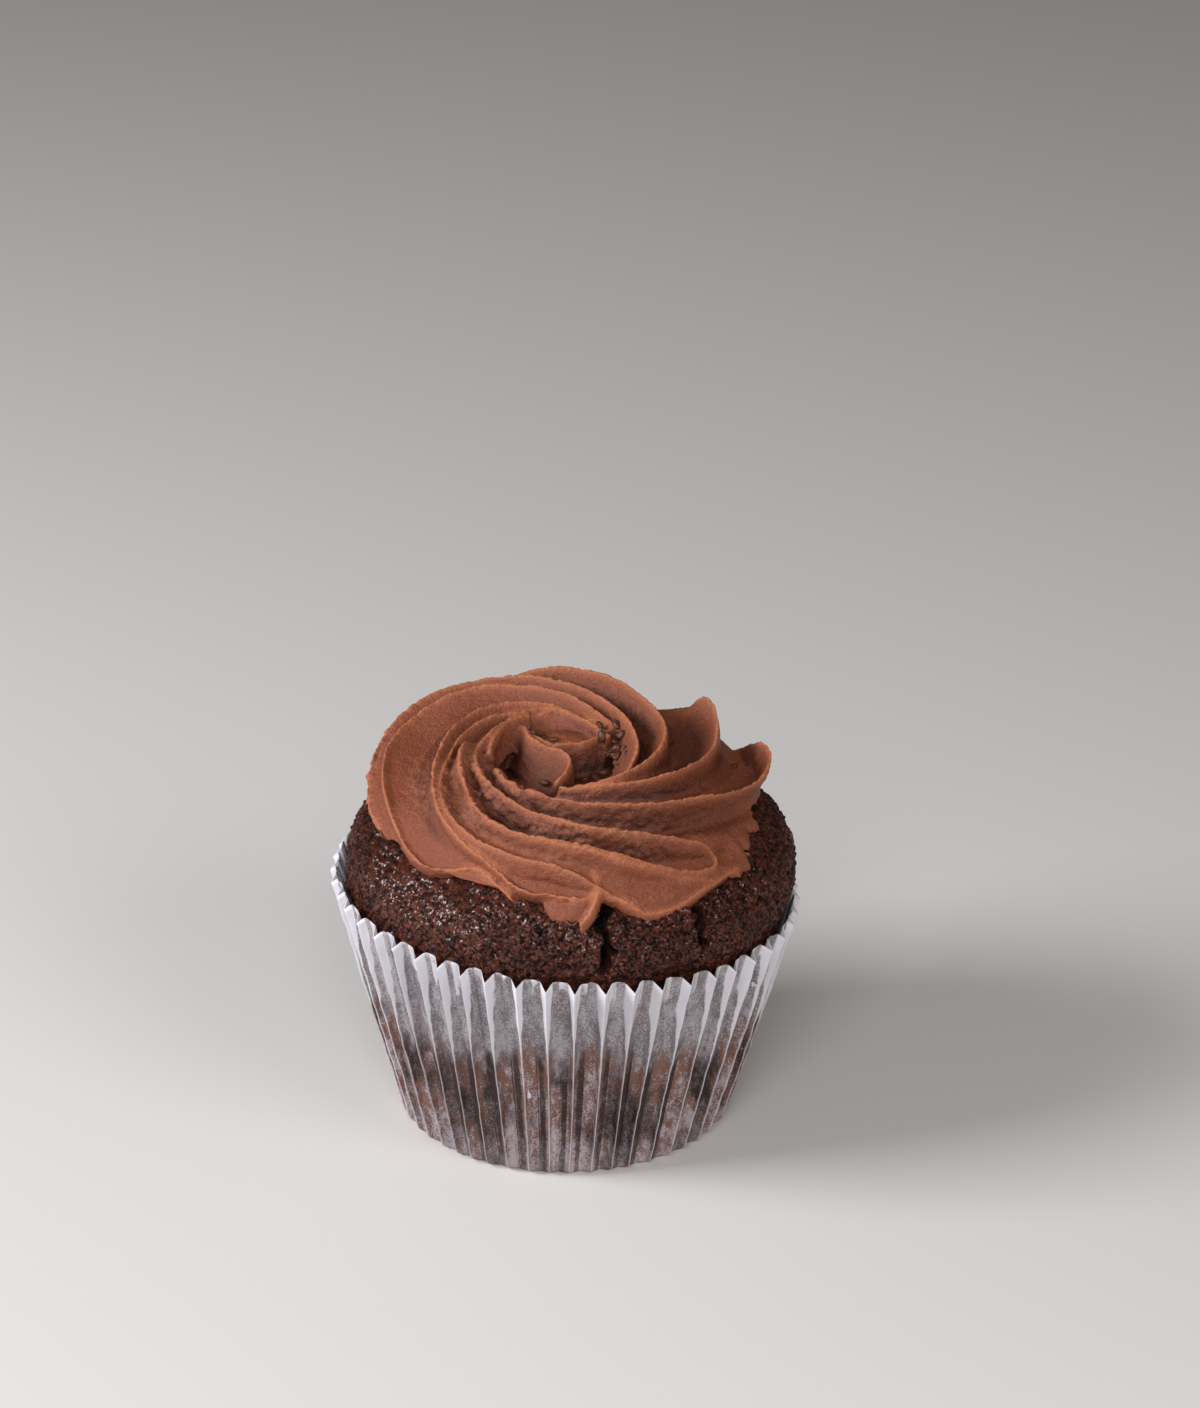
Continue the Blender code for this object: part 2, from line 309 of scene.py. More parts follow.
def paperMaterial():
    p = paperCase
    g = Graph("greaseproofPaper")
    fold, part, aside, loose = (g.attribute(name) for name in ("fold", "part", "aside", "loose"))
    long = g.add("ShaderNodeMapping", {}, {"Vector": g.place, "Scale": (1.0, 1.0, 0.35)})
    patches = g.noise(4.5 * mm, 3.0, 0.6, place=long)
    blotch = g.noise(1.4 * mm, 4.0, 0.75, place=long)
    speckle = g.noise(0.30 * mm, 3.0, 0.8)
    fibre = g.noise(0.9 * mm, 5.0, 0.75)
    # the folds stand clear of the cake and stay clean down to a ragged point; the panels took up butter
    ragged = (patches - 0.5) * 0.40 + (blotch - 0.5) * 0.22 + loose * 0.07
    point = (0.93 - part - ragged) * 2.6
    clean = (fold + aside.between(0.0, 0.5) * 0.10 - point.clamped() * 0.97).between(0.0, 0.14)
    clean = clean * (part + ragged).between(0.52, 0.60)
    dotted = (speckle * 0.6 + blotch * 0.4 + patches * 0.3).between(0.58, 0.72)
    upper = g.mix(dotted, p["soaked"], p["greasy"])
    # a darker strip beside the next fold on each panel, mirrored between the two halves of the cup: partly
    # the stain, partly painted shade of the fold
    stainAndShadeStrip = aside.between(0.10, 0.30) - aside.between(0.40, 0.48) * 0.7
    stainAndShadeMask = (blotch * 0.35 + patches * 0.75 + stainAndShadeStrip * 0.20 + loose * 0.06).between(0.50, 0.66)
    film = speckle * 0.50 + blotch * 0.50 - stainAndShadeStrip * 0.05 + (0.30 - part) * 0.12 - loose * 0.02
    film = film.between(0.47, 0.58) * (1.0 - stainAndShadeMask * 0.75)
    lower = g.mix(film, g.mix(stainAndShadeMask, p["rust"], p["stainAndShade"]), p["frosted"])
    body = g.mix((part + ragged * 0.9).between(0.50, 0.68), lower, upper)
    foot = ((0.20 - part + (blotch - 0.5) * 0.40) * 6.0).clamped()
    body = g.mix(foot * (0.15 + film * 0.50), body, p["frosted"])
    crease = (fold.between(0.66, 0.96) * (fibre * 0.9 + blotch * 0.6 - 0.05)).clamped()
    body = g.mix(crease, body, p["creased"])
    colour = g.mix(clean, body, p["clean"])
    bump = g.bump(fibre, 0.06 * mm, 0.5)
    return g.finish(Base_Color=colour, Roughness=0.50 + clean * 0.15, Normal=bump, Specular_IOR_Level=0.35)


sponge = {
    "equator": 37.6 * mm,
    "top": 50.6 * mm,
    "radius": 33.15 * mm,
    "power": 3.3,
    "lean": 0.8 * mm,          # the whole dome sits this far to the right
    "columns": 830,
    "rows": 112,
    "wallLow": 29.0 * mm,
    "grain": 0.62 * mm,
    "crumb": (0.080, 0.014, 0.006),
    "crumbLight": (0.230, 0.052, 0.022),
    # painted shade in the gaps between the crumbs
    "crumbGapShade": (0.010, 0.002, 0.001),
    # painted shade in the pores and cracks
    "holeShade": (0.006, 0.003, 0.003),
    "pressed": (300.0, 17.0, 31.6),   # turn, half its span and reach of the crumb under the lowest petal
    # each crack: turn in degrees, then in mm its half width, the reach of its top, the height of its
    # low end, its depth and its jag; gape widens it towards its top
    "cracks": (
        {"turn": 279.5, "half": 1.05, "from": 22.0, "low": 36.5, "depth": 4.2, "jag": 1.5, "seed": 2,
         "gape": 0.9},
        {"turn": 305.5, "half": 0.75, "from": 30.4, "low": 37.0, "depth": 3.2, "jag": 1.2, "seed": 5},
        {"turn": 315.0, "half": 0.60, "from": 27.0, "low": 44.2, "depth": 2.0, "jag": 0.9, "seed": 8},
        {"turn": 262.0, "half": 0.30, "from": 30.5, "low": 41.0, "depth": 0.8, "jag": 1.6, "seed": 12},
        {"turn": 120.0, "half": 0.70, "from": 27.0, "low": 39.0, "depth": 2.6, "jag": 1.5, "seed": 15},
        {"turn": 32.0, "half": 0.50, "from": 28.0, "low": 40.5, "depth": 1.6, "jag": 1.6, "seed": 18},
    ),
}


def domeHeight(reach):
    s = sponge
    part = np.clip(reach / s["radius"], 0.0, 1.0)
    return s["equator"] + (s["top"] - s["equator"]) * (1.0 - part ** s["power"]) ** (1.0 / s["power"])


def domeAt(x, y):  # height of the sponge under a place
    return domeHeight(np.hypot(x - sponge["lean"], y))


def spongeProfile():  # reach and height from the hidden bottom up over the dome, evenly spaced where seen
    s = sponge
    angle = np.linspace(0.0, 0.5 * math.pi, 900)
    reach = s["radius"] * np.cos(angle) ** (2.0 / s["power"])
    height = s["equator"] + (s["top"] - s["equator"]) * np.sin(angle) ** (2.0 / s["power"])
    wallReach = np.linspace(30.6 * mm, s["radius"], 60)[:-1]
    wallHeight = np.linspace(s["wallLow"], s["equator"], 60)[:-1]
    reach, height = np.concatenate([wallReach, reach]), np.concatenate([wallHeight, height])
    length = np.concatenate([[0.0], np.cumsum(np.hypot(np.diff(reach), np.diff(height)))])
    seen = length[np.argmin(np.abs(reach - 21.0 * mm) + (height < s["equator"]) * 1.0)]
    at = np.linspace(0.0, seen, s["rows"])
    return np.interp(at, length, reach), np.interp(at, length, height)


def buildSponge(material):
    s = sponge
    reach, height = spongeProfile()
    turn = np.linspace(0.0, 2.0 * math.pi, s["columns"], endpoint=False)[:, None]
    reach, height = reach[None, :] + 0.0 * turn, height[None, :] + 0.0 * turn
    points = polarPoints(turn, reach, height, caseLean(height))
    normals = gridNormals(points)
    normals = normals * np.sign((normals * (points - np.array([0, 0, 30 * mm]))).sum(-1, keepdims=True))
    lumps = roughField(points, 7.0 * mm, 2, 1) * 0.40 * mm + roughField(points, 2.6 * mm, 2, 2) * 0.28 * mm
    crumbs = grainField(points, s["grain"] * 1.5, 1)
    fine = roughField(points, 0.5 * mm, 2, 4)
    gritty = roughField(points, 0.85 * mm, 2, 6)
    relief = lumps + (crumbs ** 0.8 - 0.75) * 0.30 * mm + gritty * 0.30 * mm + fine * 0.12 * mm
    pores = np.clip(roughField(points, 1.5 * mm, 2, 9) - 0.38, 0.0, 1.0)
    relief = relief - pores * 1.3 * mm
    # how deep the pores and cracks go, kept to paint shade in them
    holeShadeMark = pores * 2.0
    for crack in s["cracks"]:
        jag = roughField(points, 3.0 * mm, 3, crack["seed"]) * crack["jag"] * mm
        middle = math.radians(crack["turn"])
        aside = np.abs(((turn - middle + math.pi) % (2.0 * math.pi) - math.pi) * reach + jag)
        fade = ease((height - crack["low"] * mm) / (2.5 * mm))
        fade = fade * ease((reach - crack["from"] * mm) / (1.5 * mm))
        uneven = 1.0 + 0.5 * roughField(points, 2.0 * mm, 2, crack["seed"] + 1)
        half = crack["half"] * mm * (0.55 + 0.45 * fade) * uneven
        half = half * (1.0 + crack.get("gape", 0.0) * ease((31.4 * mm - reach) / (1.6 * mm)))
        hole = (1.0 - ease((aside - 0.35 * half) / (0.75 * half))) * fade
        relief = relief - hole * crack["depth"] * mm
        lip = np.exp(-((aside - 1.6 * half) / (0.9 * half)) ** 2) * fade
        relief = relief + lip * 0.25 * mm
        holeShadeMark = holeShadeMark + hole
    span, reachIn = s["pressed"][1], s["pressed"][2] * mm
    under = ease((span - np.abs(np.degrees(turn) - s["pressed"][0])) / 4.0 + 0.5)
    under = under * ease((reachIn - reach) / (1.2 * mm))
    covered = np.maximum(under, ease((27.2 * mm - reach) / (1.5 * mm)))
    relief = mixed(relief, -0.5 * mm, covered)
    points = points + normals * relief[..., None]
    # hidden wall and floor below, and a plain top under the frosting
    base = []
    for low, out in ((0.7 * mm, 5.0 * mm), (0.7 * mm, 23.6 * mm), (18.0 * mm, 28.2 * mm)):
        base.append(polarPoints(turn[:, 0], out + 0.0 * turn[:, 0], low + 0.0 * turn[:, 0], caseLean(low)))
    crown = []
    for out in (14.0 * mm, 7.0 * mm):
        high = domeHeight(out) + 0.0 * turn[:, 0]
        crown.append(polarPoints(turn[:, 0], out + 0.0 * turn[:, 0], high, caseLean(1.0)))
    grid = np.concatenate([np.stack(base, 1), points, np.stack(crown, 1)], axis=1)
    columns, total = grid.shape[:2]
    faces = wrapFaces(columns, total)
    middle = columns * total
    for c in range(columns):
        n = (c + 1) % columns
        faces.append((c * total, middle, n * total))
        faces.append((c * total + total - 1, n * total + total - 1, middle + 1))
    ends = [[0, 0, 0.7 * mm], [caseLean(1.0), 0, domeHeight(0.0)]]
    points = np.concatenate([grid.reshape(-1, 3), ends])
    pad = [(0, 0), (len(base), len(crown))]
    marks = {"hole": np.concatenate([np.pad(holeShadeMark, pad, "edge").ravel(), [0.0, 0.0]]),
             "crumb": np.concatenate([np.pad(crumbs, pad, "edge").ravel(), [0.0, 0.0]])}
    return makePiece("sponge", points, faces, material, "sponge", marks)


def spongeMaterial():
    s = sponge
    g = Graph("chocolateCrumb")
    hole, crumb = g.attribute("hole"), g.attribute("crumb")
    tone = g.noise(1.1 * mm, 4.0, 0.7)
    fine = g.noise(0.45 * mm, 3.0, 0.7)
    speck = g.noise(0.20 * mm, 2.0, 0.6)
    wide = g.noise(8.0 * mm, 3.0, 0.55)
    # lighter on the raised crumbs and darker between them, from the same noises as the bump: partly random
    # tone, partly painted light and shade
    shade = (tone * 0.6 + fine * 0.6 + (wide - 0.5) * 0.4).between(0.46, 0.74)
    colour = g.mix(shade, s["crumb"], s["crumbLight"])
    # painted shade: the gaps between the crumbs and the low places of the bump noise are painted near black
    gaps = (0.51 - fine * 0.5 - tone * 0.5).between(0.0, 0.10)
    colour = g.mix(((1.0 - crumb) * 0.6 + gaps * 0.9).clamped(), colour, s["crumbGapShade"])
    # painted shade: pores and cracks are painted near black
    colour = g.mix(hole.clamped(), colour, s["holeShade"])
    glints = fine.between(0.48, 0.56) * (wide * 1.5 - 0.15).clamped() * tone.between(0.36, 0.48)
    bump = g.bump(fine * 1.5 + tone * 1.1 + speck * 0.3, 0.90 * mm, 1.0)
    return g.finish(Base_Color=colour, Roughness=0.50 - glints * 0.1, Coat_Weight=glints, Normal=bump,
                    Specular_IOR_Level=0.18, Coat_Roughness=0.24, Coat_IOR=1.6)


# Each fin is one ridge of the piped star. Its path gives turn in degrees, reach and crest height in
# mm, from its petal at the outside, clockwise in to the eye. dip is how far the valley inside it
# sinks, and deep how far its blade goes down, at the petal, half way and at the eye. The others are
# given at the petal, a quarter of the way, half way and at the eye: lean is how far the crest hangs
# out over its root, sink how far the body of the frosting stays below the crest, inset how far it
# stays inside it, flare how much the root spreads outward, swell how much it spreads inward.
usual = {"lean": (1.5, 1.2, 0.9, 0.9), "sink": (0.9, 0.3, 0.15, 0.15), "inset": (1.0, 0.4, 0.0, 0.0),
         "flare": (0.1, 0.8, 1.1, 1.1), "swell": (1.0, 2.0, 2.6, 2.6), "hollow": (2.2, 2.2, 2.2, 2.2)}
fins = (
    {"path": ((198, 28.4, 49.0), (188, 28.8, 50.0), (176, 29.1, 51.4), (159, 29.3, 54.0), (147, 29.0, 56.0),
              (136, 28.0, 57.4), (124, 26.0, 58.6), (106, 21.9, 59.7), (85, 17.3, 59.9), (69, 14.4, 59.7),
              (50, 12.4, 59.4), (25, 11.0, 58.9), (0, 10.7, 58.2), (-33, 10.6, 56.4)),
     "dip": (1.5, 2.6, 2.0), "deep": (2.5, 4.5, 3.0), "edge": 0.7},
    {"path": ((256, 29.8, 47.4), (248, 27.8, 49.3), (241, 27.1, 50.0), (235, 27.9, 49.4), (228, 28.8, 49.0),
              (219, 28.7, 49.7), (209, 27.8, 51.4), (194, 27.0, 53.4), (176, 26.8, 54.6), (158, 27.0, 55.5),
              (145, 26.2, 56.8), (133, 24.8, 58.2), (124, 23.2, 58.9), (108, 18.6, 59.6), (87, 13.9, 59.8),
              (65, 10.9, 59.1), (42, 9.7, 58.2)),
     "dip": (0.8, 3.6, 2.2), "deep": (1.5, 4.2, 3.0), "edge": 0.7, "lean": (1.8, 1.4, 1.0, 0.9)},
    {"path": ((272, 29.9, 48.4), (266, 29.5, 48.7), (260, 29.4, 48.9), (255, 28.8, 49.6), (251, 28.0, 50.7),
              (245, 27.3, 52.0), (239, 26.8, 53.1), (226, 25.0, 55.2), (209, 21.8, 56.9), (187, 18.5, 58.5),
              (168, 17.1, 59.2), (142, 15.6, 59.7), (123, 14.1, 59.7), (105, 12.1, 59.5), (89, 10.7, 59.0),
              (65, 9.6, 58.0)),
     "dip": (1.4, 2.6, 2.0), "deep": (1.8, 4.6, 3.0), "edge": 0.65},
    {"path": ((324, 30.7, 47.0), (312, 31.0, 46.8), (304, 31.5, 46.0), (297, 31.9, 45.5), (292, 31.7, 45.8),
              (288, 30.8, 46.9), (284, 29.8, 48.2), (279, 28.9, 49.8), (275, 28.3, 51.0), (268, 27.5, 52.3),
              (257, 27.0, 53.1), (243, 26.1, 54.1), (227, 24.0, 55.5), (208, 20.4, 56.6), (187, 16.8, 57.8),
              (168, 15.3, 58.6), (142, 13.7, 58.9), (108, 11.2, 58.5)),
     "dip": (0.4, 1.7, 2.0), "deep": (1.0, 4.0, 3.0), "edge": 0.7, "lean": (0.8, 0.8, 0.6, 0.6),
     "sink": (0.2, 0.3, 0.15, 0.15), "inset": (0.6, 0.4, 0.0, 0.0)},
    {"path": ((314, 30.3, 47.0), (306, 29.5, 48.5), (298, 28.6, 50.5), (289, 27.7, 52.2), (281, 26.7, 53.8),
              (273, 26.1, 54.6), (261, 25.2, 55.5), (253, 24.6, 55.9), (238, 22.4, 56.5), (220, 18.6, 57.4),
              (205, 16.8, 58.4), (194, 15.6, 59.5), (186, 14.6, 59.5), (176, 13.4, 58.0), (157, 12.2, 57.6),
              (134, 11.4, 58.0), (106, 10.8, 58.4)),
     "dip": (2.2, 2.2, 1.8), "deep": (2.2, 3.0, 3.0), "edge": 0.65, "lean": (0.6, 0.5, 0.4, 0.4),
     "flare": (0.1, 0.5, 0.9, 1.1)},
    {"path": ((319, 29.0, 49.4), (317, 28.3, 51.4), (312, 27.4, 52.7), (302, 26.0, 54.5), (288, 24.6, 56.0),
              (276, 23.4, 56.7), (268, 21.9, 57.0), (252, 19.3, 57.1), (241, 17.3, 57.3), (227, 15.8, 57.5),
              (214, 14.8, 57.8), (194, 13.4, 58.3), (170, 11.6, 58.9), (143, 10.8, 59.0), (120, 10.5, 58.8)),
     "dip": (7.5, 3.0, 1.5), "deep": (4.6, 4.4, 3.0), "edge": 0.9, "hollow": (14.0, 6.0, 3.0, 2.0),
     "lean": (1.0, 0.3, 0.3, 0.4), "sink": (3.2, 2.6, 0.8, 0.15), "inset": (1.6, 1.2, 0.3, 0.0),
     "flare": (0.0, 0.3, 0.8, 1.1), "swell": (0.4, 0.8, 1.6, 2.6)},
    {"path": ((387, 27.0, 50.6), (381, 28.6, 53.2), (375, 30.0, 54.9), (369, 30.7, 54.9), (361, 29.9, 54.1),
              (347, 27.0, 54.2), (337, 24.8, 55.0), (329, 23.0, 55.6), (316, 20.9, 56.1), (303, 19.1, 56.5),
              (276, 16.4, 57.0), (259, 15.0, 57.3), (238, 13.8, 57.5), (212, 11.8, 57.5)),
     "dip": (3.6, 3.4, 1.5), "deep": (5.6, 5.0, 3.0), "edge": 0.65, "hollow": (3.0, 2.6, 2.4, 2.2),
     "lean": (3.4, 2.2, 0.9, 0.7), "sink": (3.0, 1.4, 0.3, 0.15), "inset": (2.2, 1.0, 0.2, 0.0),
     "flare": (0.0, 0.2, 1.0, 1.1), "swell": (0.5, 1.4, 2.4, 2.6)},
    {"path": ((416, 26.2, 50.6), (410, 27.0, 53.2), (405, 27.1, 55.9), (400, 26.7, 57.9), (393, 26.1, 58.3),
              (386, 25.0, 58.0), (377, 23.6, 57.6), (369, 22.6, 57.6), (360, 21.7, 57.7), (349, 20.0, 57.7),
              (338, 18.5, 57.8), (322, 16.2, 57.7), (307, 13.9, 57.5), (290, 12.4, 57.1), (266, 11.2, 56.9)),
     "dip": (5.5, 4.4, 2.0), "deep": (5.0, 5.2, 3.0), "edge": 0.65, "hollow": (4.5, 3.2, 2.6, 2.2),
     "lean": (0.6, 0.6, 0.6, 0.6), "sink": (1.2, 0.3, 0.15, 0.15), "inset": (0.5, 0.1, 0.0, 0.0),
     "swell": (0.7, 1.8, 2.6, 2.6)},
    {"path": ((488, 24.8, 54.0), (478, 24.3, 57.2), (470, 23.2, 59.2), (460, 22.2, 60.5), (449, 21.2, 61.0),
              (435, 20.0, 61.0), (423, 18.6, 60.8), (412, 17.3, 60.5), (399, 16.4, 60.1), (369, 15.0, 59.8),
              (353, 14.6, 59.7), (335, 14.0, 59.2), (311, 12.8, 58.3), (293, 12.0, 57.6), (278, 11.2, 57.2)),
     "dip": (2.6, 3.4, 2.0), "deep": (4.5, 5.0, 3.0), "edge": 0.65, "lean": (0.7, 0.7, 0.7, 0.7),
     "sink": (0.6, 0.2, 0.15, 0.15), "inset": (0.3, 0.0, 0.0, 0.0)},
)
# short blades with paths in mm: the curl and the leaves that stand in the eye, and folds at the front
leaves = (
    {"path": ((-6.0, 6.2, 58.2), (-5.0, 2.8, 58.2), (-2.7, 0.6, 57.9), (-0.3, -0.7, 57.6), (0.8, -3.2, 57.2),
              (0.2, -5.3, 56.6), (-1.2, -7.4, 55.8)), "deep": 5.0, "edge": 0.8, "outer": 0.4, "inner": 2.8},
    {"path": ((-6.1, 6.8, 58.0), (-4.0, 3.6, 57.8), (-1.8, 1.6, 57.6), (0.4, 2.1, 57.6), (2.9, 2.7, 57.6),
              (5.4, 4.6, 57.8), (7.2, 7.4, 58.0)), "deep": 5.0, "edge": 0.8, "outer": 1.2, "inner": 0.5},
    {"path": ((-11.0, -2.6, 58.4), (-10.6, 0.6, 58.6), (-9.8, 3.4, 58.8), (-8.5, 6.8, 59.0),
              (-6.2, 9.6, 59.1), (-3.3, 10.8, 59.1), (-0.9, 10.6, 59.0), (1.8, 9.0, 58.8),
              (4.3, 6.6, 58.5), (6.4, 3.4, 58.2)),
     "deep": 5.6, "edge": 0.9, "outer": 1.5, "inner": 0.9},
    {"path": ((21.9, -19.4, 49.6), (21.6, -20.6, 48.9), (20.4, -21.8, 48.9), (18.2, -23.2, 49.4),
              (15.4, -24.6, 50.4), (12.2, -25.5, 51.7), (8.2, -25.9, 53.3), (3.9, -25.8, 54.6),
              (-0.6, -25.4, 55.4), (-4.6, -24.6, 55.7)),
     "deep": 1.9, "edge": 0.65, "outer": 0.0, "inner": 0.1},
    {"path": ((4.0, -26.4, 50.6), (4.8, -28.0, 49.6), (4.6, -29.8, 48.2), (3.8, -31.1, 46.8),
              (2.4, -32.0, 45.4)),
     "deep": 1.8, "edge": 0.75, "outer": 0.2, "inner": 0.2},
    {"path": ((1.2, -29.8, 48.5), (2.6, -29.9, 48.3), (3.7, -29.3, 48.2), (4.3, -28.0, 48.6)),
     "deep": 1.8, "edge": 0.9, "outer": 0.4, "inner": 0.4},
)
# thin butter pressed out onto the sponge at the right and under the lowest petal: turn in degrees and
# reach of its edge, which is torn from tornFrom onward
smear = {
    "edge": ((-84, 27.2), (-78, 28.6), (-73, 29.9), (-69, 31.0), (-64, 31.6), (-58, 31.3), (-52, 30.9),
             (-47, 30.6), (-41, 30.7), (-36, 31.4), (-32, 31.2), (-29, 30.6), (-27.5, 29.3), (-24, 29.6),
             (-21, 28.8), (-17, 28.2), (-14.5, 28.8), (-12, 29.1), (-9, 27.9), (-6, 27.1), (0, 25.5),
             (6, 24.0)),
    "tornFrom": -46.0,
    "inner": 19.0 * mm,
    "thick": 1.15 * mm,
}
dab = {"place": (0.4, -29.4), "size": (6.2, 3.8), "turn": 2, "thick": 0.8}   # flat drop under the curl, in mm
rosette = {
    "steps": 300,
    "inner": (0.0, 0.06, 0.13, 0.22, 0.33, 0.45, 0.57, 0.69, 0.80, 0.90),
    "outer": (0.0, 0.20, 0.40, 0.60, 0.78, 0.92),
    "slope": 1.15,             # a valley is at most this deep for its width
    "tuck": 2.0 * mm,          # the edge overhangs its foot on the sponge by this much
    "eyeFloor": 52.4 * mm,
    "voxel": 0.335 * mm,
    "skin": 1.25 * mm,
    "pinch": 0.55,             # how hard the crests are pressed to an edge after melting
    "serration": 0.62 * mm,
    "shelterReach": 8.0 * mm,
    "shelterRays": 10,
    "crestLift": 0.28 * mm,    # crests are pressed towards a line this far above their own
    "pinchWidth": 0.62 * mm,
    # the lighter crest edge is painted light, for light showing through the thin crest
    "edgeWidth": 0.60 * mm,    # how wide the lighter edge of a crest is
    # the low mound in the eye: middle and half widths in mm, then the layers, each with its share of
    # the width and its height
    "moundPlace": (-1.0, 6.2),
    "moundSize": (6.6, 3.4),
    "mound": ((0.05, 52.0), (1.0, 52.0), (1.0, 55.6), (0.8, 56.5), (0.4, 56.9), (0.05, 57.0)),
}


def blended(values, part):  # a size given at the start, half way and at the end
    return np.interp(part, (0.0, 0.5, 1.0), values) * mm


def sized(fin, name, part):  # one of the usual sizes of a fin, along its length
    return np.interp(part, (0.0, 0.25, 0.5, 1.0), fin.get(name, usual[name]))


def finLine(fin, part):
    turns, reach, height = np.array(fin["path"], float).T
    along = part * (turns[0] - turns[-1])
    return (turns[0] - along, smoothCurve(along, turns[0] - turns, reach) * mm,
            smoothCurve(along, turns[0] - turns, height) * mm)


class Shells:  # closed shapes gathered up, to be melted into one skin
    def __init__(self):
        self.points, self.faces, self.count = [], [], 0

    def add(self, rings):  # rings of points, closed into tubes with capped ends
        rings = np.asarray(rings)
        n, m = rings.shape[:2]
        i, j = np.meshgrid(np.arange(n - 1), np.arange(m), indexing="ij")
        k = (j + 1) % m
        quads = np.stack([i * m + j, i * m + k, (i + 1) * m + k, (i + 1) * m + j], -1).reshape(-1, 4)
        self.faces += (quads + self.count).tolist()
        self.faces += [tuple(self.count + np.arange(m)[::-1]), tuple(self.count + (n - 1) * m + np.arange(m))]
        self.points.append(rings.reshape(-1, 3))
        self.count += n * m


def blade(line, deep, edge, lean, outer, inner, wobble):  # thin at the crest, flaring to its root
    along = np.gradient(line, axis=0)
    flat = along[:, :2] / np.maximum(np.linalg.norm(along[:, :2], axis=1, keepdims=True), 1e-9)
    side = np.stack([-flat[:, 1], flat[:, 0], np.zeros(len(flat))], -1)
    sizes = (deep, lean, outer, inner, wobble)
    deep, lean, outer, inner, wobble = (np.broadcast_to(v, len(line))[:, None] for v in sizes)
    levels = np.array([0.0, 0.03, 0.08, 0.18, 0.32, 0.50, 0.75, 1.0])
    half = 0.5 * edge * np.array([0.3, 0.85, 1.0, 1.0, 1.0, 1.0, 1.0, 1.0])
    lift = np.array([1.0, 1.0, 0.75, 0.2, 0.0, 0.0, 0.0, 0.0])
    left = half + outer * levels ** 1.2 - lean * levels
    right = -half - inner * levels ** 1.5 - lean * levels
    drop = wobble * lift - deep * levels
    across = np.concatenate([left, right[:, ::-1]], axis=1)
    rings = line[:, None, :] + side[:, None, :] * across[..., None]
    rings[..., 2] += np.concatenate([drop, drop[:, ::-1]], axis=1)
    return rings


def leafLine(path, count=60):
    path = np.array(path, float) * mm
    length = np.concatenate([[0.0], np.cumsum(np.linalg.norm(np.diff(path, axis=0), axis=1))])
    at = np.linspace(0.0, length[-1], count)
    return np.stack([smoothCurve(at, length, path[:, k]) for k in range(3)], -1)


def rosetteBody():  # the body of the frosting: rings that follow the fins from outside in
    r = rosette
    part = np.linspace(0.0, 1.0, r["steps"]) ** 0.94
    lines = [finLine(fin, part) for fin in fins]
    lines.append((lines[0][0] + 360.0, lines[0][1], lines[0][2]))
    grid = []
    nexts = fins[1:] + fins[:1]
    for fin, after, (turnA, reachA, heightA), (turnB, reachB, heightB) in zip(fins, nexts, lines, lines[1:]):
        inside = np.interp(-turnA, -turnB, reachB, right=np.nan)
        width = reachA - inside
        width[np.isnan(width)] = width[~np.isnan(width)][-1]
        drop = np.minimum(blended(fin["dip"], part), r["slope"] * np.maximum(width, 0.3 * mm))
        hollow = sized(fin, "hollow", part)
        sink, inset = sized(fin, "sink", part) * mm, sized(fin, "inset", part) * mm
        nextSink, nextInset = sized(after, "sink", part) * mm, sized(after, "inset", part) * mm
        for x in r["inner"]:
            fall = drop * (1.0 - (1.0 - x) ** hollow) + mixed(sink, nextSink, x)
            inside = mixed(reachA - inset, reachB - nextInset, x)
            grid.append((mixed(turnA, turnB, x), inside, mixed(heightA, heightB, x) - fall))
        for x in r["outer"]:
            fall = drop * (1.0 - x ** 1.4) + nextSink
            share = 0.94 + 0.06 * x
            inside = mixed(reachA - inset, reachB - nextInset, share)
            grid.append((mixed(turnA, turnB, share), inside, heightB - fall))
    turn, reach, height = (np.array([g[k] for g in grid]) for k in range(3))
    turn = np.radians(turn)
    height = np.maximum(height, domeAt(reach * np.cos(turn), reach * np.sin(turn)) + r["skin"])
    rings = [polarPoints(turn[:, k], reach[:, k], height[:, k]) for k in range(r["steps"])]
    foot = []
    for share, tuck in ((0.5, 0.0), (0.8, 0.0), (1.0, r["tuck"])):
        out = reach[:, 0] * share - tuck
        under = polarPoints(turn[:, 0], out, 0.0 * out)
        under[:, 2] = domeAt(under[:, 0], under[:, 1]) - 0.3 * mm
        foot.append(under)
    eye = []
    ends, low = reach[:, -1], height[:, -1]
    for share, down in ((0.25, 0.12), (0.6, 0.45), (1.0, 0.8), (1.5, 0.95), (6.0, 1.0)):
        out = np.maximum(ends - share * mm * 1.1, 2.0 * mm)
        eye.append(polarPoints(turn[:, -1], out, mixed(low, r["eyeFloor"] + 0.0 * low, down)))
    return foot + rings + eye, lines[:-1]


def addDab(shells):
    around = np.linspace(0.0, 2.0 * math.pi, 28, endpoint=False)
    a = math.radians(dab["turn"])
    rings = []
    top = dab["thick"]
    layers = ((0.05, -0.8), (1.0, -0.8), (1.06, 0.1), (1.0, 0.5 * top), (0.86, 0.8 * top), (0.5, top),
              (0.05, top))
    for grow, lift in layers:
        u = 0.5 * dab["size"][0] * grow * np.cos(around) * (1.0 + 0.10 * np.sin(around * 3.0 + a))
        v = 0.5 * dab["size"][1] * grow * np.sin(around) * (1.0 + 0.10 * np.cos(around * 2.0))
        x = (dab["place"][0] + u * math.cos(a) - v * math.sin(a)) * mm
        y = (dab["place"][1] + u * math.sin(a) + v * math.cos(a)) * mm
        rings.append(np.stack([x, y, domeAt(x, y) + lift * mm], -1))
    shells.add(rings)


